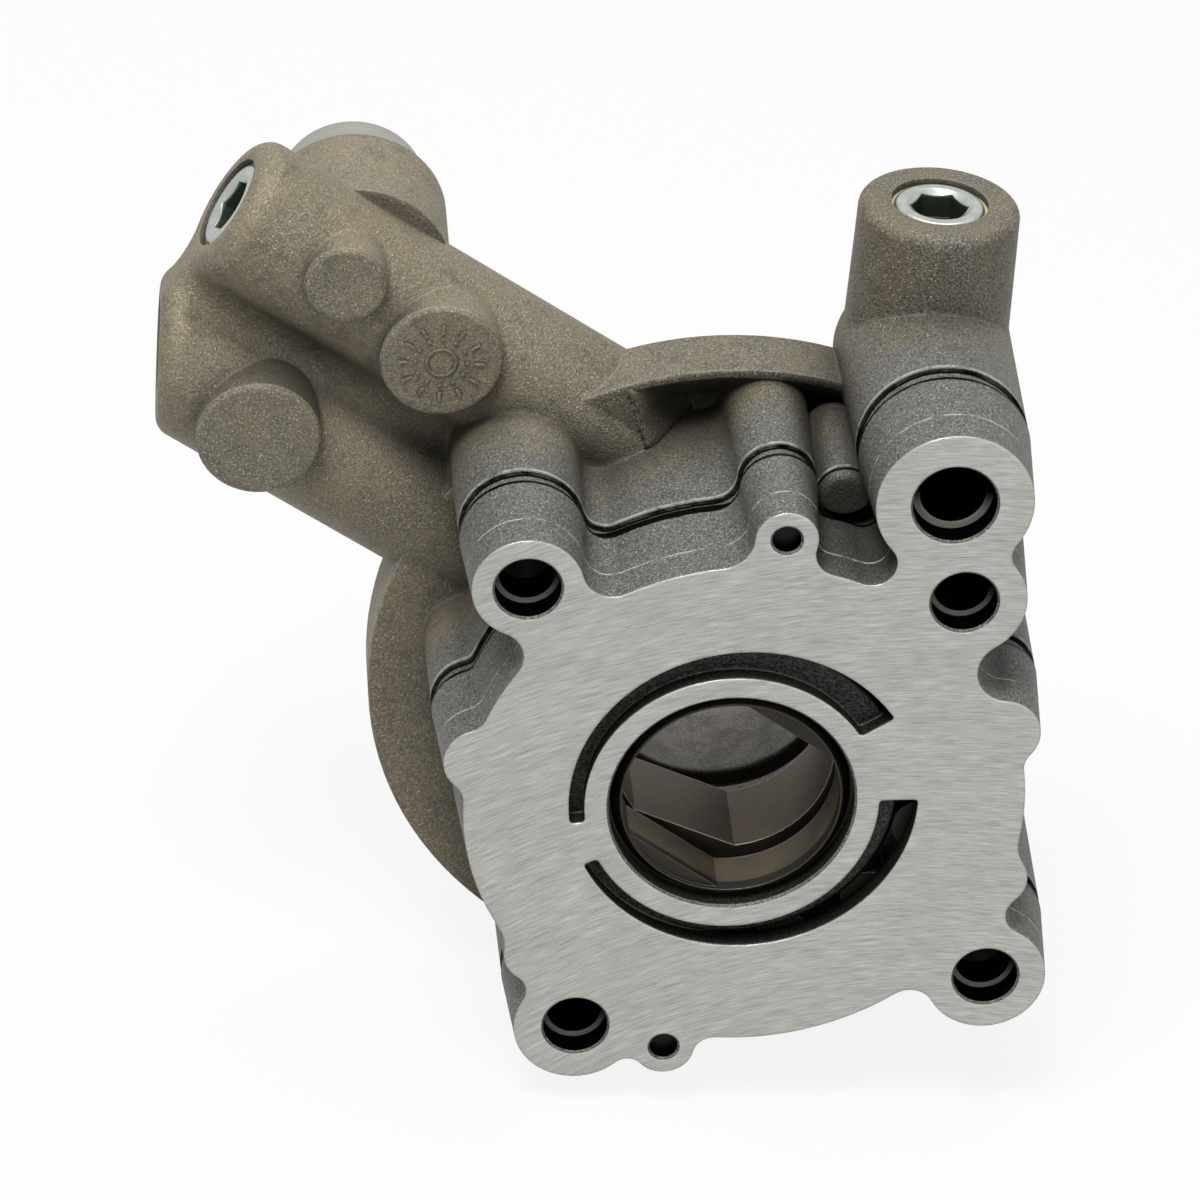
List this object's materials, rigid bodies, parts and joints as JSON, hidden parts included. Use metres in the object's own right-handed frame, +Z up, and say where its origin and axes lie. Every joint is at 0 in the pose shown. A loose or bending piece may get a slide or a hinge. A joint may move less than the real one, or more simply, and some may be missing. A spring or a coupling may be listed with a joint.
{
  "type": "engine oil pump",
  "caption": "Rotor oil pump for an engine with feed and scavenge stages: split cast housing with kidney ports, pressure port, tower and passage arm, driven directly by the crankshaft.",
  "frame": {"origin": "shaft axis on the machined mounting face", "axes": "-Y out of the mounting face towards the support plate, +Y back along the shaft axis, +Z up along the tower axis, +X to the right seen from the front"},
  "size_m": [0.1082, 0.059, 0.1069],
  "materials": {
    "cast_cover": "sand or die cast, machined front face",
    "cast_body": "as cast, fine grain",
    "rotor_steel": "sintered steel",
    "plate_steel": "ground steel",
    "spring_steel": "spring steel",
    "plug_zinc": "zinc plated",
    "seal_ring": "soft seal ring",
    "seal_rubber": "matt rubber",
    "screw_steel": "blackened steel",
    "dowel_steel": "plain steel"
  },
  "bodies": {
    "housing": {"pump_cover": "cast_cover", "pump_body": "cast_body", "feed_separator_plate": "plate_steel", "scavenge_separator_plate": "plate_steel", "wave_spring": "spring_steel", "tower_plug": "plug_zinc", "tower_plug_seal": "seal_ring", "arm_plug": "plug_zinc", "arm_plug_seal": "seal_ring", "upper_cover_screw": "screw_steel", "lower_cover_screw": "screw_steel", "upper_hollow_dowel": "dowel_steel", "lower_hollow_dowel": "dowel_steel", "port_seal_ring": "seal_rubber"},
    "feed_inner": {"feed_inner_rotor": "rotor_steel"},
    "feed_outer": {"feed_outer_rotor": "rotor_steel"},
    "scavenge_inner": {"scavenge_inner_rotor": "rotor_steel"},
    "scavenge_outer": {"scavenge_outer_rotor": "rotor_steel"}
  },
  "joints": [
    {"name": "feed_inner_spin", "type": "hinge", "parent": "housing", "child": "feed_inner", "pos_m": [0, 0.00522, 0], "axis": [0, 1, 0], "continuous": true},
    {"name": "feed_outer_spin", "type": "hinge", "parent": "housing", "child": "feed_outer", "pos_m": [0.00133, 0.00522, 0.00043], "axis": [0, 1, 0], "continuous": true},
    {"name": "scavenge_inner_spin", "type": "hinge", "parent": "housing", "child": "scavenge_inner", "pos_m": [0, 0.016, 0], "axis": [0, 1, 0], "continuous": true},
    {"name": "scavenge_outer_spin", "type": "hinge", "parent": "housing", "child": "scavenge_outer", "pos_m": [0.00133, 0.016, 0.00043], "axis": [0, 1, 0], "continuous": true}
  ],
  "couplings": [
    {"joint": "feed_outer_spin", "follows": "feed_inner_spin", "ratio": 0.91667},
    {"joint": "scavenge_outer_spin", "follows": "scavenge_inner_spin", "ratio": 0.91667}
  ]
}
